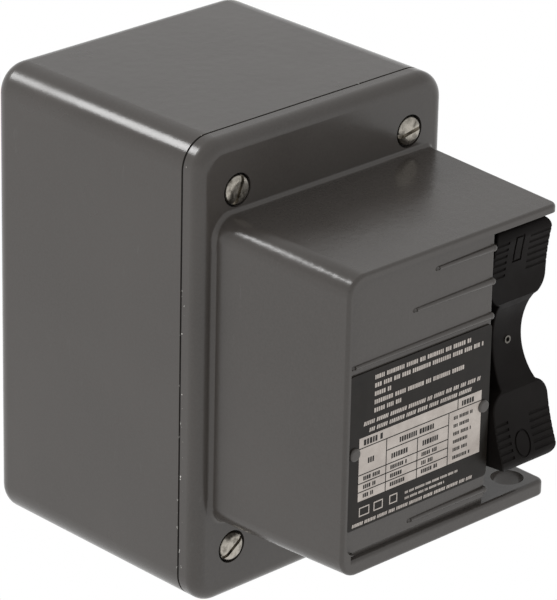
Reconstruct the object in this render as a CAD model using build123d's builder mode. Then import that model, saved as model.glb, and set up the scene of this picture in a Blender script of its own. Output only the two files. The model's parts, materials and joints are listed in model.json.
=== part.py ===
"""Surface-mounted manual motor starting switch in a watertight cast box.

Millimetres. Origin: centre of the wall-mounting holes on the box's back face.
+X is right seen from the front, -Y points away from the wall, +Z is up.
`depth` below always means the distance in front of the wall, so y = -depth.
"""
import os
from math import atan, cos, radians, sin

from build123d import *

os.makedirs("parts", exist_ok=True)

# ---- driving dimensions -------------------------------------------------------------
WIDTH, HEIGHT = 109.2, 162.0        # outline shared by the box, the gasket and the cover
CORNER_R = 10.1                     # outline corners
BOX_DEPTH = 91.5                    # wall to the parting plane
WALL = 3.6
BACK_R = 6.0
GASKET = 0.8
FLANGE = 8.1                        # parting plane to the flange's front face
FLANGE_EDGE_R = 4.5

HOOD_DEPTH = 158.4                  # wall to the hood's front rim
HOOD_DRAFT = 1.9                    # degrees, inside the hood
HOOD_HALF_W = 48.3                  # at the flange
HOOD_TOP, HOOD_BOTTOM = 55.4, -51.8
RIM_LEFT, RIM_RIGHT = -46.4, 47.5   # at the front rim
RIM_TOP, RIM_BOTTOM = 53.5, -50.2
HOOD_WALL = 3.5
HOOD_EDGE_R = 7.0                   # long left edges
HOOD_TIP_R, HOOD_RIM_R = 3.0, 1.2   # front right corner, and every other outer edge
PANEL_DEPTH = 157.0                 # front panel, sunk behind the rim
PANEL_RIGHT = 19.5                  # right end of the panel, left wall of the recess
PANEL_LEFT, PANEL_TOP, PANEL_BOTTOM = -44.4, 50.9, -42.7
RECESS_BACK = 127.5                 # depth of the recess's rear wall
RECESS_TOP, LEDGE_TOP = 50.8, -44.5
LEDGE_EDGE_R, PANEL_EDGE_R = 1.4, 0.5

SCREW_X, SCREW_Z = 38.4, 62.9       # cover screws, number 10
SCREW_HOLE_R, SCREW_R = 2.7, 2.4
HEAD_R, HEAD_H, SCREW_LENGTH = 5.0, 2.9, 26.0
COUNTERBORE_R, COUNTERBORE = 5.7, 2.4
SEAL_T = 0.6
# slot directions in degrees from +X: (left or right, top or bottom, angle)
SCREWS = [(-1, 1, 68), (1, 1, 10), (-1, -1, 35), (1, -1, -20)]

MOUNT_X, MOUNT_Z, MOUNT_R = 50.0, 138.0, 3.55   # wall holes for 1/4 in or M6 screws
CONDUIT_R, CONDUIT_DEPTH = 12.2, 30.0           # 3/4 in NPT entry, thread minor radius
CONDUIT_HUB_R, CONDUIT_LENGTH = 17.0, 16.0
PADLOCK_X, PADLOCK_DEPTH, PADLOCK_R = 38.6, 149.4, 5.5

SHAFT_DEPTH, SHAFT_Z, SHAFT_R = 138.5, 6.5, 4.0
RUNNING = 0.05                      # radial clearance of every running fit
ROCKER_X = 33.4
ROCKER_TILT = -4.9                  # ON: upper pad pressed in
ROCKER_SWING = 22.0                 # ON to OFF
PAD_W, PAD_END, PAD_START = 25.6, 41.7, 14.2    # ends measured from the shaft
PAD_OUTER_R, PAD_INNER_R = 4.5, 7.0             # corners seen from the front
HANDLE_PIN_R = 1.35
PIN_BACK, PIN_LENGTH, PIN_WALL = 7.5, 20.8, 0.55

FORK_TILT = -ROCKER_SWING / 2
TOGGLE_DEPTH, TOGGLE_Z, TOGGLE_BALL = 77.0, SHAFT_Z, 17.0
TOGGLE_TILT = 32.6                  # ON: lever down
TOGGLE_PIN_R = 2.0

STRAP_FRONT, STRAP_T, STRAP_W = 85.6, 1.6, 38.0
STRAP_SCREW_Z = 69.5
SWITCH_W, SWITCH_H = 60.0, 80.0
BASE_BACK, BASE_FRONT = 32.0, 72.0
STEP_DEPTH, STEP_H = 50.0, 10.0     # terminal steps above and below the chambers
POLE_PITCH = 19.0
POLES = [-POLE_PITCH, 0.0, POLE_PITCH]
TERMINAL_Z = SWITCH_H / 2 + 4.6
BAR_T, BAR_W = 1.6, 9.0
CONTACT_T, CONTACT_GAP = 1.4, 0.1
BRIDGE_T = 1.5
SMALL_SCREW_R = 1.75                # number 8 and number 6 screws
SWITCH_Z = SHAFT_Z                  # the switch is centred on the shaft's height


def front_plane(depth):
    """Plane facing the user: local x is +X, local y is +Z, extruding goes forwards."""
    return Plane.XZ.offset(depth)


def swing_plane(depth, z, tilt, x):
    """Side view through a pivot, turned by `tilt`: local x runs back, local y runs up."""
    turn = radians(tilt)
    return Plane(origin=(x, -depth, z), x_dir=(0, cos(turn), sin(turn)), z_dir=(1, 0, 0))


def swing_front(depth, z, tilt, out):
    """Front view turned by `tilt` about a pivot, `out` in front of it."""
    turn = radians(tilt)
    forward = (0, -cos(turn), -sin(turn))
    origin = (0, -depth + out * forward[1], z + out * forward[2])
    return Plane(origin=origin, x_dir=(1, 0, 0), z_dir=forward)


def finish(builder, name):
    """Label a finished piece and write it."""
    builder.part.label = name
    export_step(builder.part, f"parts/{name}.step")


def slotted_screws(name, places, seat, head_r, head_h, shank_r, length):
    """Pan-head slotted screws; places holds (x, z, slot angle) and faces the user."""
    slot_w, slot_deep = 0.26 * head_r, 0.5 * head_h
    with BuildPart() as screws:
        for x, z, angle in places:
            with BuildSketch(front_plane(seat - length)):
                with Locations((x, z)):
                    Circle(shank_r)
            extrude(amount=length + 0.01)
            with BuildSketch(front_plane(seat)):
                with Locations((x, z)):
                    Circle(head_r)
            head = extrude(amount=head_h)
            rim = head.edges().filter_by(GeomType.CIRCLE).sort_by(Axis.Y)[0]
            fillet(rim, 0.72 * head_h)
            with BuildSketch(front_plane(seat + head_h - slot_deep)):
                with Locations(Location((x, z), angle)):
                    Rectangle(3 * head_r, slot_w)
            extrude(amount=slot_deep + 1, mode=Mode.SUBTRACT)
    finish(screws, name)


# ---- box ----------------------------------------------------------------------------
BOSS_FROM, BOSS_TO_X, BOSS_TO_Z = 7.1, WIDTH / 2 - 3.4, HEIGHT / 2 - 3.4
boss_w = BOSS_TO_X - (SCREW_X - BOSS_FROM)
boss_h = BOSS_TO_Z - (SCREW_Z - BOSS_FROM)
BOSS_BACK = 30.0
RIM = BOX_DEPTH - GASKET / 2
THREAD_DEEP, STRAP_THREAD_DEEP = 24.0, 12.0
LUG_BACK, LUG_W, LUG_H = 50.0, 18.0, 13.4
GROUND_AT, GROUND_BOSS_R, GROUND_BOSS = (40.0, -30.0), 6.0, 9.0

with BuildPart() as enclosure_box:
    with BuildSketch(Plane.XZ):
        RectangleRounded(WIDTH, HEIGHT, CORNER_R)
    extrude(amount=RIM)
    fillet(enclosure_box.faces().sort_by(Axis.Y)[-1].edges(), BACK_R)
    with BuildSketch(front_plane(WALL)):
        RectangleRounded(WIDTH - 2 * WALL, HEIGHT - 2 * WALL, CORNER_R - WALL)
    extrude(amount=RIM, mode=Mode.SUBTRACT)
    # corner bosses that take the cover screws
    with BuildSketch(front_plane(BOSS_BACK)):
        with GridLocations(2 * BOSS_TO_X - boss_w, 2 * BOSS_TO_Z - boss_h, 2, 2):
            Rectangle(boss_w, boss_h)
    extrude(amount=RIM - BOSS_BACK)
    # lugs that carry the mounting strap
    with BuildSketch(front_plane(LUG_BACK)):
        with GridLocations(0, HEIGHT - 2 * WALL - LUG_H + 0.4, 1, 2):
            Rectangle(LUG_W, LUG_H)
    extrude(amount=STRAP_FRONT - STRAP_T - LUG_BACK)
    # conduit hub inside the bottom wall
    with BuildSketch(Plane.XY.offset(-HEIGHT / 2 + WALL / 2)):
        with Locations((0, -CONDUIT_DEPTH)):
            Circle(CONDUIT_HUB_R)
    extrude(amount=CONDUIT_LENGTH - WALL / 2)
    with BuildSketch(Plane.XY.offset(-HEIGHT / 2 - 1)):
        with Locations((0, -CONDUIT_DEPTH)):
            Circle(CONDUIT_R)
    extrude(amount=CONDUIT_LENGTH + 2, mode=Mode.SUBTRACT)
    # boss for the ground screw, on the back wall
    with BuildSketch(front_plane(WALL / 2)):
        with Locations(GROUND_AT):
            Circle(GROUND_BOSS_R)
    extrude(amount=GROUND_BOSS)
    # screw holes
    with BuildSketch(front_plane(RIM - THREAD_DEEP)):
        with GridLocations(2 * SCREW_X, 2 * SCREW_Z, 2, 2):
            Circle(SCREW_R)
    extrude(amount=THREAD_DEEP + 1, mode=Mode.SUBTRACT)
    with BuildSketch(front_plane(STRAP_FRONT - STRAP_T - STRAP_THREAD_DEEP)):
        with GridLocations(0, 2 * STRAP_SCREW_Z, 1, 2):
            Circle(SMALL_SCREW_R)
    extrude(amount=STRAP_THREAD_DEEP + 1, mode=Mode.SUBTRACT)
    with BuildSketch(front_plane(WALL)):
        with Locations(GROUND_AT):
            Circle(SCREW_R)
    extrude(amount=GROUND_BOSS, mode=Mode.SUBTRACT)
    with BuildSketch(front_plane(-1.0)):
        with GridLocations(MOUNT_X, MOUNT_Z, 2, 2):
            Circle(MOUNT_R)
    extrude(amount=WALL + 2, mode=Mode.SUBTRACT)
finish(enclosure_box, "enclosure_box")

GROUND_SEAT = WALL / 2 + GROUND_BOSS
GROUND_HEX_R, GROUND_HEAD, GROUND_SHANK = 4.8, 3.2, 6.0
GROUND_SLOT_W, GROUND_SLOT_DEEP = 1.3, 1.4
with BuildPart() as ground_screw:
    with BuildSketch(front_plane(GROUND_SEAT)):
        with Locations(GROUND_AT):
            RegularPolygon(GROUND_HEX_R, 6)
    extrude(amount=GROUND_HEAD)
    with BuildSketch(front_plane(GROUND_SEAT - GROUND_SHANK)):
        with Locations(GROUND_AT):
            Circle(SCREW_R)
    extrude(amount=GROUND_SHANK)
    with BuildSketch(front_plane(GROUND_SEAT + GROUND_HEAD - GROUND_SLOT_DEEP)):
        with Locations(Location(GROUND_AT, 25)):
            Rectangle(3 * GROUND_HEX_R, GROUND_SLOT_W)
    extrude(amount=GROUND_SLOT_DEEP + 1, mode=Mode.SUBTRACT)
finish(ground_screw, "ground_screw")

# ---- gasket -------------------------------------------------------------------------
GASKET_INSET = 0.5
with BuildPart() as cover_gasket:
    with BuildSketch(front_plane(RIM)):
        RectangleRounded(WIDTH - 2 * GASKET_INSET, HEIGHT - 2 * GASKET_INSET, CORNER_R - GASKET_INSET)
        RectangleRounded(WIDTH - 2 * WALL, HEIGHT - 2 * WALL, CORNER_R - WALL, mode=Mode.SUBTRACT)
        with GridLocations(2 * BOSS_TO_X - boss_w, 2 * BOSS_TO_Z - boss_h, 2, 2):
            Rectangle(boss_w, boss_h)
        with GridLocations(2 * SCREW_X, 2 * SCREW_Z, 2, 2):
            Circle(SCREW_HOLE_R, mode=Mode.SUBTRACT)
    extrude(amount=GASKET)
finish(cover_gasket, "cover_gasket")

# ---- cover: flange, hood, recess, awning and padlock ledge ----------------------------
COVER_BACK = BOX_DEPTH + GASKET / 2
FLANGE_FRONT = BOX_DEPTH + FLANGE
HOOD_W, HOOD_H = 2 * HOOD_HALF_W, HOOD_TOP - HOOD_BOTTOM
HOOD_MID = (HOOD_TOP + HOOD_BOTTOM) / 2
INSIDE_RIGHT = PANEL_RIGHT - HOOD_WALL
BUSH_BOSS_R, BUSH_BOSS_LEFT, BUSH_R = 9.5, 8.0, 6.0
RIB_STARTS = [(45.5, -6.0), (34.0, -15.5), (22.0, -42.0), (-39.5, -15.0)]
RIB_END_R, RIB_TIP_R = 1.15, 0.65
HOOD_ROOT_R = 1.6                   # where the hood meets the flange
CORE_IN = 4.0                       # hood wall at the flange
PANEL_CORNER_R = 4.0

with BuildPart() as cover:
    with BuildSketch(front_plane(FLANGE_FRONT)):
        with Locations((0, HOOD_MID)):
            Rectangle(HOOD_W, HOOD_H)
    with BuildSketch(front_plane(HOOD_DEPTH)):
        with Locations(((RIM_RIGHT + RIM_LEFT) / 2, (RIM_TOP + RIM_BOTTOM) / 2)):
            Rectangle(RIM_RIGHT - RIM_LEFT, RIM_TOP - RIM_BOTTOM)
    loft(ruled=True)
    front_right = cover.edges().filter_by(lambda e: abs((e % 0.5).Z) > 0.9).sort_by(Axis.X)[-2:]
    fillet(front_right.sort_by(Axis.Y)[0], HOOD_TIP_R)
    long_left = cover.edges().filter_by(lambda e: abs((e % 0.5).Y) > 0.9 and e.center().X < 0)
    fillet(long_left, HOOD_EDGE_R)
    long_right = cover.edges().filter_by(lambda e: abs((e % 0.5).Y) > 0.9 and e.center().X > 40)
    fillet(long_right + cover.faces().sort_by(Axis.Y)[0].edges(), HOOD_RIM_R)
    with BuildSketch(front_plane(COVER_BACK)):
        RectangleRounded(WIDTH, HEIGHT, CORNER_R)
    extrude(amount=FLANGE_FRONT - COVER_BACK)
    outer_front = [
        e for e in cover.edges()
        if abs(e.center().Y + FLANGE_FRONT) < 0.01 and (
            abs(e.center().X) > HOOD_HALF_W + 2 or abs(e.center().Z) > HOOD_TOP + 5)
    ]
    fillet(outer_front, FLANGE_EDGE_R)
    junction = [
        e for e in cover.edges()
        if abs(e.bounding_box().min.Y + FLANGE_FRONT) < 0.05
        and abs(e.bounding_box().max.Y + FLANGE_FRONT) < 0.05
        and abs(e.center().X) < HOOD_HALF_W + 1 and HOOD_BOTTOM - 1 < e.center().Z < HOOD_TOP + 1
    ]
    fillet(junction, HOOD_ROOT_R)
    # room inside the hood: full depth behind the panel, shallow behind the recess
    with BuildSketch(front_plane(COVER_BACK)):
        with Locations(((INSIDE_RIGHT - HOOD_HALF_W + CORE_IN) / 2, HOOD_MID)):
            RectangleRounded(INSIDE_RIGHT + HOOD_HALF_W - CORE_IN, HOOD_H - 2 * CORE_IN, CORE_IN)
    extrude(amount=PANEL_DEPTH - HOOD_WALL - COVER_BACK, taper=HOOD_DRAFT, mode=Mode.SUBTRACT)
    with BuildSketch(front_plane(COVER_BACK)):
        with Locations(((HOOD_HALF_W - CORE_IN) / 2, HOOD_MID)):
            RectangleRounded(HOOD_HALF_W - CORE_IN, HOOD_H - 2 * CORE_IN, CORE_IN)
    extrude(amount=RECESS_BACK - HOOD_WALL - COVER_BACK, taper=HOOD_DRAFT, mode=Mode.SUBTRACT)
    # recess for the rocker, open to the front and to the right
    with BuildSketch(front_plane(RECESS_BACK)):
        with Locations((PANEL_RIGHT + 20, (RECESS_TOP + LEDGE_TOP) / 2)):
            Rectangle(40, RECESS_TOP - LEDGE_TOP)
    extrude(amount=40, mode=Mode.SUBTRACT)
    # sunk front panel, with a groove above the bottom lip
    with BuildSketch(front_plane(PANEL_DEPTH)):
        with Locations(((PANEL_LEFT + PANEL_RIGHT + 6) / 2, (PANEL_TOP + PANEL_BOTTOM) / 2)):
            RectangleRounded(PANEL_RIGHT - PANEL_LEFT + 6, PANEL_TOP - PANEL_BOTTOM, PANEL_CORNER_R)
        with Locations((PANEL_RIGHT, (RECESS_TOP + PANEL_BOTTOM) / 2)):
            Rectangle(12, RECESS_TOP - PANEL_BOTTOM)
    extrude(amount=3, mode=Mode.SUBTRACT)
    with BuildSketch(front_plane(PANEL_DEPTH - 1.0)):
        with Locations(((PANEL_LEFT + PANEL_RIGHT) / 2 + 2, (PANEL_BOTTOM + LEDGE_TOP) / 2)):
            Rectangle(PANEL_RIGHT - PANEL_LEFT, PANEL_BOTTOM - LEDGE_TOP)
    extrude(amount=4, mode=Mode.SUBTRACT)
    # worn-soft inner edges of the rim, the ledge and the panel
    ledge_front = [
        e for e in cover.edges()
        if abs(e.center().Y + HOOD_DEPTH) < 0.05 and abs(e.center().Z - LEDGE_TOP) < 0.05 and e.length > 20
    ]
    fillet(ledge_front, LEDGE_EDGE_R)
    panel_ends = [
        e for e in cover.edges()
        if abs(e.center().Y + PANEL_DEPTH) < 0.05 and e.length > 20
        and (abs(e.center().Z - PANEL_BOTTOM) < 0.05 or abs(e.center().X - PANEL_RIGHT) < 0.05)
    ]
    fillet(panel_ends, PANEL_EDGE_R)
    # bearing boss and bore for the operating shaft
    with BuildSketch(swing_plane(SHAFT_DEPTH, SHAFT_Z, 0, BUSH_BOSS_LEFT)):
        Circle(BUSH_BOSS_R)
    extrude(amount=INSIDE_RIGHT - BUSH_BOSS_LEFT + 1)
    with BuildSketch(swing_plane(SHAFT_DEPTH, SHAFT_Z, 0, 0)):
        Circle(BUSH_R)
    extrude(amount=PANEL_RIGHT + 1, mode=Mode.SUBTRACT)
    # padlock hole through the ledge
    with BuildSketch(Plane.XY.offset(LEDGE_TOP + 1)):
        with Locations((PADLOCK_X, -PADLOCK_DEPTH)):
            Circle(PADLOCK_R)
    extrude(amount=-12, mode=Mode.SUBTRACT)
    # tapered ribs that end in round bumps at the recess
    for rib_z, rib_x in RIB_STARTS:
        with BuildSketch(Plane.XY.offset(rib_z)):
            with BuildLine():
                Polyline(
                    (rib_x, -PANEL_DEPTH), (PANEL_RIGHT, -PANEL_DEPTH),
                    (PANEL_RIGHT, -PANEL_DEPTH - RIB_END_R), (rib_x, -PANEL_DEPTH - RIB_TIP_R),
                    close=True)
            make_face()
        revolve(axis=Axis((0, -PANEL_DEPTH, rib_z), (1, 0, 0)))
        with Locations((PANEL_RIGHT - 0.6, -PANEL_DEPTH, rib_z)):
            Sphere(RIB_END_R + 0.15)
        with Locations((rib_x - 0.4, -PANEL_DEPTH - 0.5, rib_z)):
            Sphere(0.9, mode=Mode.SUBTRACT)
    # cover screw holes, each with a shallow seat
    with BuildSketch(front_plane(COVER_BACK - 1)):
        with GridLocations(2 * SCREW_X, 2 * SCREW_Z, 2, 2):
            Circle(SCREW_HOLE_R)
    extrude(amount=FLANGE + 3, mode=Mode.SUBTRACT)
    with BuildSketch(front_plane(FLANGE_FRONT - COUNTERBORE)):
        with GridLocations(2 * SCREW_X, 2 * SCREW_Z, 2, 2):
            Circle(COUNTERBORE_R)
    extrude(amount=COUNTERBORE + 1, mode=Mode.SUBTRACT)
finish(cover, "cover")

SCREW_SEAT = FLANGE_FRONT - COUNTERBORE + SEAL_T
with BuildPart() as screw_seals:
    with BuildSketch(front_plane(FLANGE_FRONT - COUNTERBORE)):
        with GridLocations(2 * SCREW_X, 2 * SCREW_Z, 2, 2):
            Circle(COUNTERBORE_R - 0.2)
            Circle(SCREW_R, mode=Mode.SUBTRACT)
    extrude(amount=SEAL_T)
finish(screw_seals, "screw_seals")

slotted_screws(
    "cover_screws", [(sx * SCREW_X, sz * SCREW_Z, angle) for sx, sz, angle in SCREWS],
    SCREW_SEAT, HEAD_R, HEAD_H, SCREW_R, SCREW_LENGTH)

# ---- nameplate ----------------------------------------------------------------------
PLATE_W, PLATE_H, PLATE_T = 63.4, 53.6, 0.6
PLATE_X, PLATE_Z = -12.4, -7.4
RIVETS = [(-41.4, -7.6), (16.6, -8.8)]
RIVET_R, RIVET_SHANK_R = 2.25, 1.2

with BuildPart() as nameplate:
    with BuildSketch(front_plane(PANEL_DEPTH)):
        with Locations((PLATE_X, PLATE_Z)):
            RectangleRounded(PLATE_W, PLATE_H, 1.5)
        with Locations(*RIVETS):
            Circle(RIVET_SHANK_R, mode=Mode.SUBTRACT)
    extrude(amount=PLATE_T)
finish(nameplate, "nameplate")

with BuildPart() as nameplate_rivets:
    with BuildSketch(front_plane(PANEL_DEPTH)):
        with Locations(*RIVETS):
            Circle(RIVET_SHANK_R)
    extrude(amount=PLATE_T + 0.1)
    with BuildSketch(front_plane(PANEL_DEPTH + PLATE_T)):
        with Locations(*RIVETS):
            Circle(RIVET_R)
    heads = extrude(amount=0.9)
    fillet(heads.edges().group_by(Axis.Y)[0], 0.7)
finish(nameplate_rivets, "nameplate_rivets")

# ---- rocker handle ------------------------------------------------------------------
# Side view from the shaft: local x runs back, local y up, both halves alike.
PAD_INNER, PAD_MID, PAD_TIP = (-18.3, 15.4), (-19.3, 26.0), (-21.9, 37.0)
PAD_NOSE, PAD_TOP = (-21.1, 40.3), (-18.6, PAD_END)
WAIST_END, WAIST_FRONT = (-16.3, 12.6), (-13.0, 0.0)
ROCKER_BACK = -6.0
HUB_R, HUB_W = 8.6, 14.0
NECK_W, NECK_END, WAIST_W = 8.6, 17.0, 6.8       # half widths seen from the front
NECK_CORNERS = [(1, -1), (1, 1), (-1, 1), (-1, -1)]
ROCKER_EDGE_R = 0.5
MARK_STROKE = 0.75
GROOVES, GROOVE_PITCH, GROOVE_FIRST, GROOVE_R = 7, 2.3, 25.2, 0.55
MARK_CLEAR = 4.8                    # half width of the smooth field around each mark
MARK_AT, MARK_DEEP = 33.6, 0.35
MARK_X = ROCKER_X - 2.0
MARK_I_W, MARK_O_W, MARK_H = 4.2, 7.2, 9.6


def lower(point):
    """The same point on the rocker's other half."""
    return (point[0], -point[1])


def pad_face(height):
    """Distance in front of the shaft of the pad's face at a height above the shaft."""
    (x1, y1), (x2, y2), (x3, y3) = PAD_INNER, PAD_MID, PAD_TIP
    share = (height - y1) / (y3 - y1)
    bow = x2 - (x1 + (x3 - x1) * (y2 - y1) / (y3 - y1))
    middle = (y2 - y1) / (y3 - y1)
    return -(x1 + (x3 - x1) * share + bow * share * (1 - share) / (middle * (1 - middle)))


with BuildPart() as rocker_handle:
    side_at = ROCKER_X - PAD_W / 2
    rocker_side = swing_plane(SHAFT_DEPTH, SHAFT_Z, ROCKER_TILT, side_at)
    with BuildSketch(rocker_side):
        with BuildLine():
            ThreePointArc(lower(WAIST_END), WAIST_FRONT, WAIST_END)
            Line(WAIST_END, PAD_INNER)
            ThreePointArc(PAD_INNER, PAD_MID, PAD_TIP)
            ThreePointArc(PAD_TIP, PAD_NOSE, PAD_TOP)
            Polyline(
                PAD_TOP, (ROCKER_BACK - 3, PAD_END), (ROCKER_BACK, PAD_END - 3),
                (ROCKER_BACK, -PAD_END + 3), (ROCKER_BACK - 3, -PAD_END), lower(PAD_TOP))
            ThreePointArc(lower(PAD_TOP), lower(PAD_NOSE), lower(PAD_TIP))
            ThreePointArc(lower(PAD_TIP), lower(PAD_MID), lower(PAD_INNER))
            Line(lower(PAD_INNER), lower(WAIST_END))
        make_face()
    extrude(amount=PAD_W)
    # hourglass outline seen from the front
    with BuildSketch(swing_front(SHAFT_DEPTH, SHAFT_Z, ROCKER_TILT, 0)) as outline:
        with Locations((ROCKER_X, (PAD_END + PAD_START) / 2), (ROCKER_X, -(PAD_END + PAD_START) / 2)):
            Rectangle(PAD_W, PAD_END - PAD_START)
        fillet([v for v in outline.vertices() if abs(v.Y) > PAD_END - 0.1], PAD_OUTER_R)
        fillet([v for v in outline.vertices() if abs(v.Y) < PAD_START + 0.1], PAD_INNER_R)
        neck = [(ROCKER_X + side * NECK_W, end * NECK_END) for side, end in NECK_CORNERS]
        with BuildLine():
            ThreePointArc(neck[0], (ROCKER_X + WAIST_W, 0), neck[1])
            Line(neck[1], neck[2])
            ThreePointArc(neck[2], (ROCKER_X - WAIST_W, 0), neck[3])
            Line(neck[3], neck[0])
        make_face()
    extrude(amount=40, both=True, mode=Mode.INTERSECT)
    front_rim = [
        e for e in rocker_handle.edges()
        if rocker_side.to_local_coords(e.center()).X < -11.5 and abs(e.center().X - ROCKER_X) > 5.5
    ]
    fillet(front_rim, ROCKER_EDGE_R)
    # hub around the shaft
    with BuildSketch(swing_plane(SHAFT_DEPTH, SHAFT_Z, ROCKER_TILT, ROCKER_X - HUB_W / 2)):
        Circle(HUB_R)
    extrude(amount=HUB_W)
    with BuildSketch(swing_plane(SHAFT_DEPTH, SHAFT_Z, ROCKER_TILT, ROCKER_X - HUB_W)):
        Circle(SHAFT_R)
    extrude(amount=1.5 * HUB_W, mode=Mode.SUBTRACT)
    # finger grooves on both sides of each mark
    groove_spans = [(side_at - 1, MARK_X - MARK_CLEAR), (MARK_X + MARK_CLEAR, side_at + PAD_W + 1)]
    for half in (1, -1):
        for groove in range(GROOVES):
            height = GROOVE_FIRST + groove * GROOVE_PITCH
            for start, end in groove_spans:
                with BuildSketch(swing_plane(SHAFT_DEPTH, SHAFT_Z, ROCKER_TILT, start)):
                    with Locations((-pad_face(height) - 0.15, half * height)):
                        Circle(GROOVE_R)
                extrude(amount=end - start, mode=Mode.SUBTRACT)
    # engraved I on the upper pad and O on the lower pad
    for half in (1, -1):
        slope = (pad_face(MARK_AT + 4) - pad_face(MARK_AT - 4)) / 8
        tilt = radians(ROCKER_TILT)
        turn = tilt + half * atan(slope)
        out = pad_face(MARK_AT) - MARK_DEEP
        centre = (
            MARK_X,
            -SHAFT_DEPTH - out * cos(tilt) - half * MARK_AT * sin(tilt),
            SHAFT_Z - out * sin(tilt) + half * MARK_AT * cos(tilt))
        mark_plane = Plane(origin=centre, x_dir=(1, 0, 0), z_dir=(0, -cos(turn), -sin(turn)))
        with BuildSketch(mark_plane):
            if half > 0:
                Rectangle(MARK_I_W, MARK_H)
                Rectangle(MARK_I_W - 2 * MARK_STROKE, MARK_H - 2 * MARK_STROKE, mode=Mode.SUBTRACT)
            else:
                Ellipse(MARK_O_W / 2, MARK_H / 2)
                Ellipse(MARK_O_W / 2 - MARK_STROKE, MARK_H / 2 - MARK_STROKE, mode=Mode.SUBTRACT)
        extrude(amount=3, mode=Mode.SUBTRACT)
    # cross hole for the spring pin
    with BuildSketch(swing_front(SHAFT_DEPTH, SHAFT_Z, ROCKER_TILT, 0)):
        with Locations((ROCKER_X, 0)):
            Circle(HANDLE_PIN_R)
    extrude(amount=30, both=True, mode=Mode.SUBTRACT)
finish(rocker_handle, "rocker_handle")

with BuildPart() as handle_pin:
    with BuildSketch(swing_front(SHAFT_DEPTH, SHAFT_Z, ROCKER_TILT, -PIN_BACK)):
        with Locations((ROCKER_X, 0)):
            Circle(HANDLE_PIN_R)
            Circle(HANDLE_PIN_R - PIN_WALL, mode=Mode.SUBTRACT)
    extrude(amount=PIN_LENGTH)
finish(handle_pin, "handle_pin")

# ---- operating shaft, its bearing and seal ------------------------------------------
SHAFT_LEFT, SHAFT_RIGHT = -7.6, ROCKER_X + HUB_W / 2
FORK_HALF_W = 4.0
CLIP_X, CLIP_T, CLIP_GROOVE_R, CLIP_R = -6.0, 1.0, 3.1, 6.8
WASHER_R, WASHER_T = 8.0, 2.0

with BuildPart() as operating_shaft:
    with BuildSketch(swing_plane(SHAFT_DEPTH, SHAFT_Z, 0, SHAFT_LEFT)):
        Circle(SHAFT_R)
    extrude(amount=SHAFT_RIGHT - SHAFT_LEFT)
    chamfer(operating_shaft.edges().filter_by(GeomType.CIRCLE), 0.5)
    with BuildSketch(swing_plane(SHAFT_DEPTH, SHAFT_Z, 0, CLIP_X)):
        Circle(SHAFT_R + 1)
        Circle(CLIP_GROOVE_R, mode=Mode.SUBTRACT)
    extrude(amount=CLIP_T, mode=Mode.SUBTRACT)
    with BuildSketch(swing_front(SHAFT_DEPTH, SHAFT_Z, ROCKER_TILT, 0)):
        with Locations((ROCKER_X, 0)):
            Circle(HANDLE_PIN_R)
    extrude(amount=10, both=True, mode=Mode.SUBTRACT)
finish(operating_shaft, "operating_shaft")

with BuildPart() as retaining_clip:
    with BuildSketch(swing_plane(SHAFT_DEPTH, SHAFT_Z, FORK_TILT, CLIP_X)):
        Circle(CLIP_R)
        Circle(CLIP_GROOVE_R, mode=Mode.SUBTRACT)
        with Locations((0, 5)):
            Rectangle(2 * CLIP_GROOVE_R - 0.8, 10, mode=Mode.SUBTRACT)
    extrude(amount=CLIP_T)
finish(retaining_clip, "retaining_clip")

with BuildPart() as thrust_washer:
    with BuildSketch(swing_plane(SHAFT_DEPTH, SHAFT_Z, 0, FORK_HALF_W)):
        Circle(WASHER_R)
        Circle(SHAFT_R, mode=Mode.SUBTRACT)
    extrude(amount=WASHER_T)
finish(thrust_washer, "thrust_washer")

BUSH_RIGHT, BUSH_FLANGE, BUSH_FLANGE_R = INSIDE_RIGHT + 0.8, 1.2, 8.2
with BuildPart() as shaft_bushing:
    with BuildSketch(swing_plane(SHAFT_DEPTH, SHAFT_Z, 0, BUSH_BOSS_LEFT - BUSH_FLANGE)):
        Circle(BUSH_FLANGE_R)
    extrude(amount=BUSH_FLANGE)
    with BuildSketch(swing_plane(SHAFT_DEPTH, SHAFT_Z, 0, BUSH_BOSS_LEFT)):
        Circle(BUSH_R)
    extrude(amount=BUSH_RIGHT - BUSH_BOSS_LEFT)
    with BuildSketch(swing_plane(SHAFT_DEPTH, SHAFT_Z, 0, 0)):
        Circle(SHAFT_R + RUNNING)
    extrude(amount=BUSH_RIGHT + 1, mode=Mode.SUBTRACT)
finish(shaft_bushing, "shaft_bushing")

SEAL_R = 0.95
with BuildPart() as shaft_seal:
    with BuildSketch(Plane((BUSH_RIGHT + SEAL_R + 0.1, -SHAFT_DEPTH, SHAFT_Z))):
        with Locations((0, SHAFT_R + RUNNING + SEAL_R)):
            Circle(SEAL_R)
    revolve(axis=Axis((0, -SHAFT_DEPTH, SHAFT_Z), (1, 0, 0)))
finish(shaft_seal, "shaft_seal")

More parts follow.
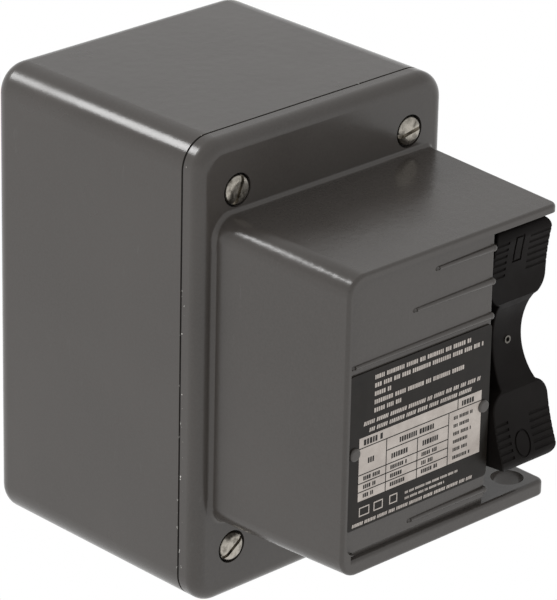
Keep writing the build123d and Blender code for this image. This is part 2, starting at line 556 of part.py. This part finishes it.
# ---- fork that turns the shaft's motion into the switch lever's ----------------------
FORK_HUB_R, FORK_SLOT, FORK_HEAD, FORK_ARM = 8.5, 3.8, 8.0, 4.5
SET_SCREW_LENGTH, SET_SLOT_W, SET_SLOT_DEEP = 6.0, 0.7, 1.0
FORK_END = SHAFT_DEPTH - TOGGLE_DEPTH - TOGGLE_BALL + 3.0
with BuildPart() as operating_fork:
    with BuildSketch(swing_plane(SHAFT_DEPTH, SHAFT_Z, FORK_TILT, -FORK_HALF_W)):
        Circle(FORK_HUB_R)
        with Locations((FORK_END / 2, 0)):
            Rectangle(FORK_END, 2 * FORK_ARM)
        with Locations((FORK_END - 6, 0)):
            RectangleRounded(12, 2 * FORK_HEAD, 2)
        with Locations((FORK_END - 1, 0)):
            RectangleRounded(18, 2 * FORK_SLOT, 2, mode=Mode.SUBTRACT)
        Circle(SHAFT_R, mode=Mode.SUBTRACT)
    extrude(amount=2 * FORK_HALF_W)
    with BuildSketch(swing_front(SHAFT_DEPTH, SHAFT_Z, FORK_TILT, 0)):
        Circle(SMALL_SCREW_R)
    extrude(amount=20, mode=Mode.SUBTRACT)
finish(operating_fork, "operating_fork")

with BuildPart() as fork_set_screw:
    with BuildSketch(swing_front(SHAFT_DEPTH, SHAFT_Z, FORK_TILT, SHAFT_R)):
        Circle(SMALL_SCREW_R)
    extrude(amount=SET_SCREW_LENGTH)
    slot_floor = SHAFT_R + SET_SCREW_LENGTH - SET_SLOT_DEEP
    with BuildSketch(swing_front(SHAFT_DEPTH, SHAFT_Z, FORK_TILT, slot_floor)):
        Rectangle(3 * SMALL_SCREW_R, SET_SLOT_W)
    extrude(amount=2 * SET_SLOT_DEEP, mode=Mode.SUBTRACT)
finish(fork_set_screw, "fork_set_screw")

# ---- mounting strap -------------------------------------------------------------------
STRAP_BACK = STRAP_FRONT - STRAP_T
WINDOW_W, WINDOW_H = 20.0, 32.0
SWITCH_SCREW_Z = 33.0
STRAP_H, TAB_W, STRAP_HOLE_R = 110.0, 17.0, 2.1
with BuildPart() as mounting_strap:
    with BuildSketch(front_plane(STRAP_BACK)):
        RectangleRounded(STRAP_W, STRAP_H, 4)
        RectangleRounded(TAB_W, 2 * (STRAP_SCREW_Z + 5.5), 3)
        with GridLocations(0, 2 * STRAP_SCREW_Z, 1, 2):
            Circle(STRAP_HOLE_R, mode=Mode.SUBTRACT)
        with Locations((0, SWITCH_Z)):
            RectangleRounded(WINDOW_W, WINDOW_H, 3, mode=Mode.SUBTRACT)
            with GridLocations(0, 2 * SWITCH_SCREW_Z, 1, 2):
                Circle(STRAP_HOLE_R, mode=Mode.SUBTRACT)
    extrude(amount=STRAP_T)
finish(mounting_strap, "mounting_strap")

slotted_screws(
    "strap_screws", [(0, STRAP_SCREW_Z, 20), (0, -STRAP_SCREW_Z, 75)],
    STRAP_FRONT, 3.9, 2.4, SMALL_SCREW_R, 11.0)
slotted_screws(
    "switch_mounting_screws",
    [(0, SWITCH_Z + SWITCH_SCREW_Z, 50), (0, SWITCH_Z - SWITCH_SCREW_Z, 5)],
    STRAP_FRONT, 3.6, 2.2, SMALL_SCREW_R, 15.0)

# ---- switch housing -------------------------------------------------------------------
CHAMBER_W, CHAMBER_H, CHAMBER_BACK = 15.0, 40.0, 38.0
BARRIER_T, BARRIER_FRONT = 2.4, 66.0
NOTCH_H = 15.0
HOUSING_SCREWS = (52.0, 70.0)
HOUSING_SCREW_R = 1.4
TERMINAL_HOLE_BACK, HOUSING_HOLE_BACK, NOTCH_BACK = 40.0, 58.0, 56.0
HOUSING_HEAD, HOUSING_HEAD_R = 2.4, 3.2         # counterbores for the housing screws

with BuildPart() as switch_base:
    with BuildSketch(front_plane(BASE_BACK)):
        with Locations((0, SWITCH_Z)):
            Rectangle(SWITCH_W, SWITCH_H)
    extrude(amount=BASE_FRONT - BASE_BACK)
    with BuildSketch(front_plane(BASE_BACK)):
        with Locations((0, SWITCH_Z)):
            Rectangle(SWITCH_W, SWITCH_H + 2 * STEP_H)
    extrude(amount=STEP_DEPTH - BASE_BACK)
    # barriers between neighbouring terminals
    with BuildSketch(front_plane(BASE_BACK)):
        with Locations((0, SWITCH_Z)):
            with GridLocations(POLE_PITCH, 0, 4, 1):
                Rectangle(BARRIER_T, SWITCH_H + 2 * STEP_H)
    extrude(amount=BARRIER_FRONT - BASE_BACK)
    # contact chambers
    with BuildSketch(front_plane(CHAMBER_BACK)):
        with Locations((0, SWITCH_Z)):
            with GridLocations(POLE_PITCH, 0, 3, 1):
                Rectangle(CHAMBER_W, CHAMBER_H)
    extrude(amount=BASE_FRONT, mode=Mode.SUBTRACT)
    # notches the contact carrier slides in
    with BuildSketch(front_plane(NOTCH_BACK)):
        with Locations((0, SWITCH_Z)):
            Rectangle(SWITCH_W - 4, NOTCH_H)
    extrude(amount=BASE_FRONT, mode=Mode.SUBTRACT)
    # channels for the contact bars
    with BuildSketch(front_plane(STEP_DEPTH)):
        with Locations((0, SWITCH_Z)):
            with GridLocations(POLE_PITCH, 0, 3, 1):
                Rectangle(BAR_W, SWITCH_H + 2 * STEP_H - 2)
    extrude(amount=BAR_T, mode=Mode.SUBTRACT)
    with BuildSketch(front_plane(TERMINAL_HOLE_BACK)):
        with Locations((0, SWITCH_Z)):
            with GridLocations(POLE_PITCH, 2 * TERMINAL_Z, 3, 2):
                Circle(SMALL_SCREW_R)
    extrude(amount=20, mode=Mode.SUBTRACT)
    with BuildSketch(front_plane(HOUSING_HOLE_BACK)):
        with Locations((0, SWITCH_Z)):
            with GridLocations(*HOUSING_SCREWS, 2, 2):
                Circle(HOUSING_SCREW_R)
            with GridLocations(0, 2 * SWITCH_SCREW_Z, 1, 2):
                Circle(SMALL_SCREW_R)
    extrude(amount=BASE_FRONT, mode=Mode.SUBTRACT)
finish(switch_base, "switch_base")

YOKE_W, YOKE_H, PIN_HALF = 14.8, 29.0, 12.0
with BuildPart() as switch_cover:
    with BuildSketch(front_plane(BASE_FRONT)):
        with Locations((0, SWITCH_Z)):
            Rectangle(SWITCH_W, SWITCH_H)
            Rectangle(YOKE_W, YOKE_H, mode=Mode.SUBTRACT)
            with GridLocations(*HOUSING_SCREWS, 2, 2):
                Circle(HOUSING_SCREW_R, mode=Mode.SUBTRACT)
            with GridLocations(0, 2 * SWITCH_SCREW_Z, 1, 2):
                Circle(SMALL_SCREW_R, mode=Mode.SUBTRACT)
    extrude(amount=STRAP_BACK - BASE_FRONT)
    with BuildSketch(front_plane(STRAP_BACK - HOUSING_HEAD)):
        with Locations((0, SWITCH_Z)):
            with GridLocations(*HOUSING_SCREWS, 2, 2):
                Circle(HOUSING_HEAD_R)
    extrude(amount=4, mode=Mode.SUBTRACT)
    # open seats for the lever's pin
    with BuildSketch(swing_plane(TOGGLE_DEPTH, TOGGLE_Z, 0, -PIN_HALF)):
        Circle(TOGGLE_PIN_R)
        with Locations((3, 0)):
            Rectangle(6, 2 * TOGGLE_PIN_R)
    extrude(amount=2 * PIN_HALF, mode=Mode.SUBTRACT)
finish(switch_cover, "switch_cover")

slotted_screws(
    "housing_screws",
    [(x, SWITCH_Z + z, 45 * n) for n, (x, z) in enumerate([(-26, 35), (26, 35), (-26, -35), (26, -35)])],
    STRAP_BACK - HOUSING_HEAD, 2.8, 1.9, HOUSING_SCREW_R, 22.0)

# ---- toggle lever ---------------------------------------------------------------------
TOGGLE_HALF_W, TOGGLE_HUB_R, BALL_R = 7.0, 5.0, 3.0
SOCKET_R, PLUNGER_HOLE_R, PLUNGER_R, PLUNGER_TIP = 3.0, 1.6, 1.5, 7.8
THROAT_HALF, STEM_FROM = 3.4, -3.5
with BuildPart() as toggle_lever:
    with BuildSketch(swing_plane(TOGGLE_DEPTH, TOGGLE_Z, TOGGLE_TILT, -TOGGLE_HALF_W)):
        Circle(TOGGLE_HUB_R)
        Circle(TOGGLE_PIN_R + RUNNING, mode=Mode.SUBTRACT)
    extrude(amount=2 * TOGGLE_HALF_W)
    with BuildSketch(swing_plane(TOGGLE_DEPTH, TOGGLE_Z, TOGGLE_TILT, -BALL_R)):
        with BuildLine():
            Polyline(
                (STEM_FROM, THROAT_HALF), (-TOGGLE_BALL + 2, BALL_R - 0.6), (-TOGGLE_BALL + 2, 0.6 - BALL_R),
                (STEM_FROM, -THROAT_HALF), close=True)
        make_face()
        with Locations((-TOGGLE_BALL, 0)):
            Circle(BALL_R)
    extrude(amount=2 * BALL_R)
    with BuildSketch(swing_front(TOGGLE_DEPTH, TOGGLE_Z, TOGGLE_TILT, -6.5)):
        Circle(SOCKET_R)
        Circle(PLUNGER_HOLE_R, mode=Mode.SUBTRACT)
    extrude(amount=3.0)
finish(toggle_lever, "toggle_lever")

with BuildPart() as toggle_plunger:
    with BuildSketch(swing_front(TOGGLE_DEPTH, TOGGLE_Z, TOGGLE_TILT, -PLUNGER_TIP)):
        Circle(PLUNGER_R)
    extrude(amount=2.6)
    fillet(toggle_plunger.edges().filter_by(GeomType.CIRCLE).sort_by(Axis.Y)[-1], 0.9)
finish(toggle_plunger, "toggle_plunger")

with BuildPart() as toggle_pin:
    with BuildSketch(swing_plane(TOGGLE_DEPTH, TOGGLE_Z, 0, -PIN_HALF)):
        Circle(TOGGLE_PIN_R)
    extrude(amount=2 * PIN_HALF)
finish(toggle_pin, "toggle_pin")

# ---- contacts -------------------------------------------------------------------------
BAR_INNER, BAR_OUTER = 6.0, SWITCH_H / 2 + STEP_H - 1
CONTACT_Z, FIXED_CONTACT_R, MOVING_CONTACT_R = 9.0, 2.6, 2.4
STEM_R, STEM_HEAD_R, STEM_HEAD = 1.6, 3.0, 1.2
FIXED_FRONT = STEP_DEPTH + BAR_T + CONTACT_T
for side, bars_name in ((1, "line_terminals"), (-1, "load_terminals")):
    with BuildPart() as bars:
        with BuildSketch(front_plane(STEP_DEPTH)):
            with Locations((0, SWITCH_Z + side * (BAR_INNER + BAR_OUTER) / 2)):
                with GridLocations(POLE_PITCH, 0, 3, 1):
                    Rectangle(BAR_W, BAR_OUTER - BAR_INNER)
            with Locations((0, SWITCH_Z + side * TERMINAL_Z)):
                with GridLocations(POLE_PITCH, 0, 3, 1):
                    Circle(SMALL_SCREW_R, mode=Mode.SUBTRACT)
        extrude(amount=BAR_T)
        with BuildSketch(front_plane(STEP_DEPTH + BAR_T)):
            with Locations((0, SWITCH_Z + side * CONTACT_Z)):
                with GridLocations(POLE_PITCH, 0, 3, 1):
                    Circle(FIXED_CONTACT_R)
        extrude(amount=CONTACT_T)
    finish(bars, bars_name)

CLAMP_T = 1.2
with BuildPart() as terminal_clamps:
    with BuildSketch(front_plane(STEP_DEPTH + BAR_T)):
        with Locations((0, SWITCH_Z)):
            with GridLocations(POLE_PITCH, 2 * TERMINAL_Z, 3, 2):
                RectangleRounded(8.6, 8.0, 0.8)
                Circle(SMALL_SCREW_R, mode=Mode.SUBTRACT)
    extrude(amount=CLAMP_T)
finish(terminal_clamps, "terminal_clamps")

for side, screws_name in ((1, "line_terminal_screws"), (-1, "load_terminal_screws")):
    slotted_screws(
        screws_name,
        [(x, SWITCH_Z + side * TERMINAL_Z, 30 + 35 * n * side) for n, x in enumerate(POLES)],
        STEP_DEPTH + BAR_T + CLAMP_T, 3.5, 2.6, SMALL_SCREW_R, 12.0)

BRIDGE_BACK = FIXED_FRONT + CONTACT_GAP + CONTACT_T
with BuildPart() as moving_contacts:
    with BuildSketch(front_plane(BRIDGE_BACK)):
        with Locations((0, SWITCH_Z)):
            with GridLocations(POLE_PITCH, 0, 3, 1):
                RectangleRounded(8.0, 25.0, 2)
                Circle(STEM_R, mode=Mode.SUBTRACT)
    extrude(amount=BRIDGE_T)
    with BuildSketch(front_plane(BRIDGE_BACK)):
        with Locations((0, SWITCH_Z)):
            with GridLocations(POLE_PITCH, 2 * CONTACT_Z, 3, 2):
                Circle(MOVING_CONTACT_R)
    extrude(amount=-CONTACT_T)
finish(moving_contacts, "moving_contacts")

CARRIER_BACK, CARRIER_FRONT, CARRIER_H = 60.0, 66.0, 13.0
with BuildPart() as contact_carrier:
    with BuildSketch(front_plane(CARRIER_BACK)):
        with Locations((0, SWITCH_Z)):
            Rectangle(SWITCH_W - 6, CARRIER_H)
    extrude(amount=CARRIER_FRONT - CARRIER_BACK)
    # stems that guide the contact bridges, each headed behind its bridge
    with BuildSketch(front_plane(BRIDGE_BACK)):
        with Locations((0, SWITCH_Z)):
            with GridLocations(POLE_PITCH, 0, 3, 1):
                Circle(STEM_R)
    extrude(amount=CARRIER_BACK - BRIDGE_BACK)
    with BuildSketch(front_plane(BRIDGE_BACK - STEM_HEAD)):
        with Locations((0, SWITCH_Z)):
            with GridLocations(POLE_PITCH, 0, 3, 1):
                Circle(STEM_HEAD_R)
    extrude(amount=STEM_HEAD)
finish(contact_carrier, "contact_carrier")

SPRING_R, SPRING_WIRE, SPRING_TURNS = 2.6, 0.4, 3
SPRING_BACK = BRIDGE_BACK + BRIDGE_T + SPRING_WIRE
SPRING_LENGTH = CARRIER_BACK - SPRING_WIRE - SPRING_BACK
with BuildPart() as contact_springs:
    for pole_x in POLES:
        with BuildLine():
            coil = Helix(
                pitch=SPRING_LENGTH / SPRING_TURNS, height=SPRING_LENGTH, radius=SPRING_R,
                center=(pole_x, -SPRING_BACK, SWITCH_Z), direction=(0, -1, 0))
        with BuildSketch(Plane(origin=coil @ 0, z_dir=coil % 0)):
            Circle(SPRING_WIRE)
        sweep(path=coil)
finish(contact_springs, "contact_springs")
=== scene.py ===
"""Looks of a watertight manual motor starting switch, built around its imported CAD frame."""
import json
import math
import random

import bmesh
import bpy
from mathutils import Matrix, Vector


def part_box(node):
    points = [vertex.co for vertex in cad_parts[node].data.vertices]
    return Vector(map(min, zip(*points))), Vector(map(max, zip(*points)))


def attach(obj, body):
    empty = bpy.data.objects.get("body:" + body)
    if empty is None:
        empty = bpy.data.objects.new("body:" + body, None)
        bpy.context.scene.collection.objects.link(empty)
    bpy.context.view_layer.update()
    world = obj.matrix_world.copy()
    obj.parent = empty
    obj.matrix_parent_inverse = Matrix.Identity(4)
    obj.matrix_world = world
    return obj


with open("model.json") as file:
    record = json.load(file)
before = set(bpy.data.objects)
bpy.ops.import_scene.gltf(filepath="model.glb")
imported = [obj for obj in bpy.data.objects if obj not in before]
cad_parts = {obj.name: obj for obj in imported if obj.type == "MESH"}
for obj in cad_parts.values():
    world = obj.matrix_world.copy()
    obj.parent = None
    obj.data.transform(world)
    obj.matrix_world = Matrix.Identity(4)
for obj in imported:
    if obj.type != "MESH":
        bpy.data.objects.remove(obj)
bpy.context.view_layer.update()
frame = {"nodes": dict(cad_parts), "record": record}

MM = 0.001
NODES = frame["nodes"]


# ---- camera -------------------------------------------------------------------------
def add_camera():
    """A long lens up and to the user's left of the object."""
    azimuth, elevation, roll = (math.radians(a) for a in (-44.18, 23.81, 1.22))
    back = Vector((
        math.sin(azimuth) * math.cos(elevation),
        -math.cos(azimuth) * math.cos(elevation),
        math.sin(elevation)))
    right = (-back).cross(Vector((0, 0, 1))).normalized()
    up = right.cross(-back)
    level_right = math.cos(roll) * right + math.sin(roll) * up
    level_up = math.cos(roll) * up - math.sin(roll) * right
    place = Vector((-872.7, -977.7, 559.8)) * MM
    data = bpy.data.cameras.new("camera")
    data.lens = 249.8
    data.sensor_width = 36.0
    data.clip_end = 50.0
    camera = bpy.data.objects.new("camera", data)
    bpy.context.scene.collection.objects.link(camera)
    turn = Matrix((level_right, level_up, back)).transposed().to_4x4()
    camera.matrix_world = Matrix.Translation(place) @ turn
    bpy.context.scene.camera = camera


# ---- materials ----------------------------------------------------------------------
class Material:
    """A Principled material whose node tree is built a step at a time."""

    def __init__(self, name, metallic=0.0, roughness=0.5, specular=0.5):
        self.material = bpy.data.materials.new(name)
        self.material.use_nodes = True
        self.tree = self.material.node_tree
        self.shader = self.tree.nodes["Principled BSDF"]
        self.shader.inputs["Metallic"].default_value = metallic
        self.shader.inputs["Roughness"].default_value = roughness
        self.shader.inputs["Specular IOR Level"].default_value = specular
        self.place = self.tree.nodes.new("ShaderNodeTexCoord").outputs["Object"]
        self.normal = None

    def node(self, kind, **values):
        made = self.tree.nodes.new(kind)
        for key, value in values.items():
            setattr(made, key, value)
        return made

    def link(self, source, target):
        self.tree.links.new(source, target)

    def stretched(self, scale):
        mapping = self.node("ShaderNodeMapping")
        mapping.inputs["Scale"].default_value = scale
        self.link(self.place, mapping.inputs["Vector"])
        return mapping.outputs["Vector"]

    def noise(self, scale, detail=3.0, rough=0.5, vector=None):
        made = self.node("ShaderNodeTexNoise")
        made.inputs["Scale"].default_value = scale
        made.inputs["Detail"].default_value = detail
        made.inputs["Roughness"].default_value = rough
        self.link(vector or self.place, made.inputs["Vector"])
        return made.outputs["Fac"]

    def ramp(self, source, stops):
        made = self.node("ShaderNodeValToRGB")
        elements = made.color_ramp.elements
        while len(elements) < len(stops):
            elements.new(0.5)
        for element, (position, colour) in zip(elements, stops):
            element.position = position
            element.color = (*colour, 1.0)
        self.link(source, made.inputs["Fac"])
        return made.outputs["Color"]

    def span(self, source, low, high, start=0.3, end=0.7):
        made = self.node("ShaderNodeMapRange")
        for key, value in (("From Min", start), ("From Max", end), ("To Min", low), ("To Max", high)):
            made.inputs[key].default_value = value
        self.link(source, made.inputs["Value"])
        return made.outputs["Result"]

    def mixed(self, share, first, second):
        made = self.node("ShaderNodeMix", data_type="RGBA")
        self.link(share, made.inputs["Factor"])
        for value, socket in ((first, made.inputs["A"]), (second, made.inputs["B"])):
            if isinstance(value, tuple):
                socket.default_value = (*value, 1.0)
            else:
                self.link(value, socket)
        return made.outputs["Result"]

    def maths(self, operation, first, second):
        made = self.node("ShaderNodeMath", operation=operation)
        for value, socket in zip((first, second), made.inputs):
            if isinstance(value, (int, float)):
                socket.default_value = value
            else:
                self.link(value, socket)
        return made.outputs["Value"]

    def bump(self, height, strength, distance):
        made = self.node("ShaderNodeBump")
        made.inputs["Strength"].default_value = strength
        made.inputs["Distance"].default_value = distance
        self.link(height, made.inputs["Height"])
        if self.normal is not None:
            self.link(self.normal, made.inputs["Normal"])
        self.normal = made.outputs["Normal"]
        self.link(self.normal, self.shader.inputs["Normal"])

    def colour(self, source):
        self.link(source, self.shader.inputs["Base Color"])

    def roughness(self, source):
        self.link(source, self.shader.inputs["Roughness"])


def enamel(name, chips=True):
    """Semi-gloss warm grey enamel with orange peel, light scuffs and chipped edges."""
    paint = Material(name)
    cloudy = paint.noise(14.0, 4.0)
    base = paint.ramp(cloudy, [(0.3, (0.047, 0.0415, 0.0375)), (0.7, (0.058, 0.0515, 0.0465))])
    grain = paint.span(paint.noise(1100.0, 4.0, 0.7), 0.0, 0.5)
    base = paint.mixed(grain, base, (0.068, 0.061, 0.055))
    scuffs = paint.noise(1.0, 6.0, 0.65, paint.stretched((240.0, 240.0, 45.0)))
    scuffed = paint.span(scuffs, 0.0, 0.35, 0.66, 0.80)
    base = paint.mixed(scuffed, base, (0.12, 0.115, 0.11))
    if chips:
        base = paint.mixed(parting_chips(paint), base, (0.62, 0.60, 0.56))
    paint.colour(base)
    paint.roughness(paint.span(paint.noise(35.0, 4.0), 0.17, 0.28))
    paint.bump(paint.noise(260.0, 2.0, 0.4), 0.22, 0.00022)
    paint.bump(paint.noise(1300.0, 3.0, 0.6), 0.24, 0.00005)
    return paint.material


def parting_chips(paint):
    """Bare metal specks close to the line between box and cover, most of them low down,
    where knocks land."""
    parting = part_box("cover")[1].y
    split = paint.node("ShaderNodeSeparateXYZ")
    paint.link(paint.place, split.inputs["Vector"])
    away = paint.maths("ABSOLUTE", paint.maths("SUBTRACT", split.outputs["Y"], parting), 0.0)
    near = paint.span(away, 1.0, 0.0, 0.6 * MM, 1.6 * MM)
    low_down = paint.span(split.outputs["Z"], 0.045, 0.0, -45 * MM, 10 * MM)
    noisy = paint.maths("ADD", paint.noise(420.0, 3.0, 0.7), low_down)
    return paint.maths("MULTIPLY", near, paint.span(noisy, 0.0, 1.0, 0.68, 0.71))


def rubber(name):
    black = Material(name, roughness=0.8, specular=0.3)
    stops = [(0.3, (0.009, 0.009, 0.009)), (0.7, (0.020, 0.019, 0.018))]
    black.colour(black.ramp(black.noise(300.0), stops))
    black.bump(black.noise(900.0, 3.0), 0.4, 0.00008)
    return black.material


def metal(name, dark, light, low, high):
    """Plated or bare metal with fine scratches and tarnish."""
    steel = Material(name, metallic=1.0)
    tarnish = steel.noise(420.0, 5.0, 0.6)
    steel.colour(steel.ramp(tarnish, [(0.28, dark), (0.55, light)]))
    scratches = steel.noise(1.0, 4.0, 0.7, steel.stretched((2600.0, 500.0, 260.0)))
    steel.roughness(steel.span(scratches, low, high, 0.35, 0.65))
    steel.bump(scratches, 0.25, 0.00003)
    return steel.material


def moulding(name, dark, light, low=0.38, high=0.55, specular=0.5):
    """Moulded plastic with a fine grain and handled, glossier patches."""
    plastic = Material(name, specular=specular)
    plastic.colour(plastic.ramp(plastic.noise(55.0, 4.0), [(0.3, dark), (0.7, light)]))
    plastic.roughness(plastic.span(plastic.noise(90.0, 5.0, 0.6), low, high))
    plastic.bump(plastic.noise(1900.0, 3.0, 0.6), 0.35, 0.00006)
    plastic.bump(plastic.noise(160.0, 2.0, 0.5), 0.15, 0.00025)
    return plastic.material


def lacquer(name, dark, light, roughness, specular=0.18):
    """Printed lacquer on a thin plate."""
    film = Material(name, specular=specular)
    film.colour(film.ramp(film.noise(120.0, 5.0, 0.65), [(0.3, dark), (0.72, light)]))
    film.roughness(film.span(film.noise(200.0, 3.0), roughness - 0.06, roughness + 0.08))
    film.bump(film.noise(700.0, 2.0), 0.15, 0.00004)
    return film.material


def make_materials():
    return {
        "enamel": enamel("enamel"),
        "gasket_rubber": rubber("gasket_rubber"),
        "plated_steel": metal("plated_steel", (0.10, 0.09, 0.075), (0.44, 0.41, 0.36), 0.22, 0.42),
        "plate_black": lacquer("plate_black", (0.0085, 0.0070, 0.0056), (0.0150, 0.0122, 0.0098), 0.36),
        "rivet_grey": enamel("rivet_grey", chips=False),
        "black_moulding": moulding(
            "black_moulding", (0.0045, 0.0036, 0.0032), (0.0085, 0.0070, 0.0064), 0.46, 0.66, 0.08),
        "bearing_brass": metal("bearing_brass", (0.42, 0.27, 0.10), (0.68, 0.48, 0.22), 0.25, 0.45),
        "phenolic": moulding("phenolic", (0.035, 0.020, 0.013), (0.060, 0.036, 0.024)),
        "copper_alloy": metal("copper_alloy", (0.50, 0.26, 0.15), (0.74, 0.44, 0.28), 0.28, 0.46),
        "ground_green": metal("ground_green", (0.02, 0.16, 0.05), (0.06, 0.36, 0.12), 0.25, 0.45),
    }


def dress_nodes(materials):
    """Every CAD node gets its slot's finished material."""
    slots = {row["node"]: row["material_slot"] for row in frame["record"]["subparts"]}
    for name, node in NODES.items():
        node.data.materials.clear()
        node.data.materials.append(materials[slots[name]])
    # the spring pin has gone dark, unlike the screws of its slot
    blackened = metal("blackened_pin", (0.03, 0.027, 0.024), (0.16, 0.15, 0.135), 0.35, 0.55)
    NODES["handle_pin"].data.materials[0] = blackened


# ---- nameplate print ----------------------------------------------------------------
PRINT_LIFT = 0.03 * MM


class Print:
    """Flat rectangles of ink just in front of the nameplate, placed in plate millimetres."""

    def __init__(self, name, material, slot, lift):
        self.name, self.material, self.slot = name, material, slot
        low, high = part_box("nameplate")
        self.front = low.y - lift
        self.left, self.bottom = low.x, low.z
        self.mesh = bmesh.new()

    def bar(self, x, z, width, height, lean=0.0):
        corners = [(x, z), (x + width, z), (x + width + lean, z + height), (x + lean, z + height)]
        self.mesh.faces.new([
            self.mesh.verts.new((self.left + cx * MM, self.front, self.bottom + cz * MM))
            for cx, cz in corners])

    def ring(self, x, z, width, height, stroke):
        self.bar(x, z, width, stroke)
        self.bar(x, z + height - stroke, width, stroke)
        self.bar(x, z + stroke, stroke, height - 2 * stroke)
        self.bar(x + width - stroke, z + stroke, stroke, height - 2 * stroke)

    def words(self, x, z, width, height, rng, lean=0.0):
        """A line of plain blocks in groups, standing for a line of print."""
        at = x
        while at < x + width:
            for _ in range(rng.randint(3, 9)):
                if at > x + width:
                    break
                block = height * rng.choice((0.36, 0.44, 0.52))
                self.bar(at, z, block, height, lean * height)
                at += block + 0.17 * height
            at += 0.5 * height

    def done(self):
        data = bpy.data.meshes.new(self.name)
        self.mesh.to_mesh(data)
        self.mesh.free()
        piece = bpy.data.objects.new(self.name, data)
        bpy.context.scene.collection.objects.link(piece)
        data.materials.append(self.material)
        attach(piece, "enclosure")
        return piece


HEADING_ROWS = [(11, 43), (11, 48), (11, 7), (11, 40), (11, 12)]   # left end and width
SLANTED_ROWS = [(6.5, 52), (9, 46)]
SMALL_ROWS = [(26, 24), (26, 18)]
TABLE_X, TABLE_Z, TABLE_W, TABLE_H = 4.8, 9.4, 55.0, 22.0
COLUMNS = [0.0, 12.0, 26.0, 40.0]
ROWS = [3.0, 6.0, 9.0, 14.0, 18.2]
CORNER_CELL = 44.0                  # left side of the small cell at the table's upper right
RULE = 0.35
SLANT = 0.2


def add_nameplate_print():
    """Rows of plain blocks, and a pale table with ruled cells."""
    rng = random.Random(7)
    ink = lacquer("plate_ink", (0.40, 0.355, 0.32), (0.56, 0.51, 0.465), 0.42, 0.3)
    black = lacquer("plate_rules", (0.010, 0.009, 0.008), (0.022, 0.020, 0.018), 0.40)
    add_pale_print(ink, rng)
    add_table_rules(black, rng)


def add_pale_print(ink, rng):
    """Heading, slanted lines, the table's ground, small print and three empty marks."""
    pale = Print("nameplate_print", ink, "plate_black", PRINT_LIFT)
    for row, (x, width) in enumerate(HEADING_ROWS):
        pale.words(x, 50.0 - 2.85 * row, width, 1.5, rng)
    for row, (x, width) in enumerate(SLANTED_ROWS):
        pale.words(x, 35.2 - 2.7 * row, width, 1.4, rng, SLANT)
    pale.bar(TABLE_X, TABLE_Z, TABLE_W, TABLE_H)
    for row, (x, width) in enumerate(SMALL_ROWS):
        pale.words(x, 5.4 - 2.0 * row, width, 0.85, rng)
    pale.words(2.5, 0.9, 54.0, 1.15, rng, SLANT)
    for n, x in enumerate((5.5, 12.0, 19.0)):
        pale.ring(x, 3.9, 4.6 - 0.5 * n, 3.2, 0.4)
    pale.done()


def add_table_rules(black, rng):
    """The table's lines, and blocks standing for its entries."""
    rules = Print("nameplate_rules", black, "plate_black", 2 * PRINT_LIFT)
    header, top = ROWS[3], ROWS[-1]
    for x, height in zip(COLUMNS[1:], (top, header, top)):
        rules.bar(TABLE_X + x, TABLE_Z, RULE, height)
    rules.bar(TABLE_X + CORNER_CELL, TABLE_Z + top, RULE, TABLE_H - top)
    for z in ROWS:
        left = COLUMNS[1] if z == header else 0.0
        right = TABLE_W if z > header else COLUMNS[-1]
        rules.bar(TABLE_X + left, TABLE_Z + z, right - left, RULE)
    for z in [0.0] + ROWS[:2]:
        for x in COLUMNS[:3]:
            rules.words(TABLE_X + x + 2.2, TABLE_Z + z + 0.9, rng.uniform(4.0, 7.0), 1.4, rng)
    for x in COLUMNS[1:3]:
        rules.words(TABLE_X + x + 2.5, TABLE_Z + ROWS[2] + 1.6, 7.0, 1.8, rng)
    single_cells = [                # left end, bottom, width, height
        (4.0, ROWS[2] + 3.4, 2.6, 1.9), (2.0, top + 0.9, 8.0, 2.0),
        (18.0, header + 1.2, 15.0, 1.8), (46.0, top + 0.9, 5.0, 1.8)]
    for x, z, width, height in single_cells:
        rules.words(TABLE_X + x, TABLE_Z + z, width, height, rng)
    for n in range(6):
        rules.words(TABLE_X + 42.5, TABLE_Z + 1.2 + 2.8 * n, rng.uniform(6.0, 9.5), 1.2, rng)
    rules.done()


# ---- studio -------------------------------------------------------------------------
def add_area(name, place, target, size, power):
    data = bpy.data.lights.new(name, "AREA")
    data.shape = "RECTANGLE"
    data.size, data.size_y = size
    data.energy = power
    light = bpy.data.objects.new(name, data)
    bpy.context.scene.collection.objects.link(light)
    light.location = place
    aim = Vector(target) - Vector(place)
    light.rotation_euler = aim.to_track_quat("-Z", "Y").to_euler()


def add_light():
    """A white surround, a little dimmer overhead, and one weak softbox at the upper left."""
    world = bpy.data.worlds.new("studio")
    world.use_nodes = True
    tree = world.node_tree
    background = tree.nodes["Background"]
    background.inputs["Color"].default_value = (1.0, 1.0, 1.0, 1.0)
    place = tree.nodes.new("ShaderNodeTexCoord")
    split = tree.nodes.new("ShaderNodeSeparateXYZ")
    dimmed = tree.nodes.new("ShaderNodeMapRange")
    for key, value in (("From Min", 0.0), ("From Max", 0.35), ("To Min", 1.0), ("To Max", 0.76)):
        dimmed.inputs[key].default_value = value
    tree.links.new(place.outputs["Generated"], split.inputs["Vector"])
    tree.links.new(split.outputs["Z"], dimmed.inputs["Value"])
    tree.links.new(dimmed.outputs["Result"], background.inputs["Strength"])
    bpy.context.scene.world = world
    centre = (0.0, -0.08, 0.0)
    add_area("rear_softbox", (-0.50, 0.72, 0.80), centre, (0.35, 0.35), 5.0)


add_camera()
dress_nodes(make_materials())
add_nameplate_print()
add_light()
bpy.context.scene.view_settings.view_transform = "Standard"
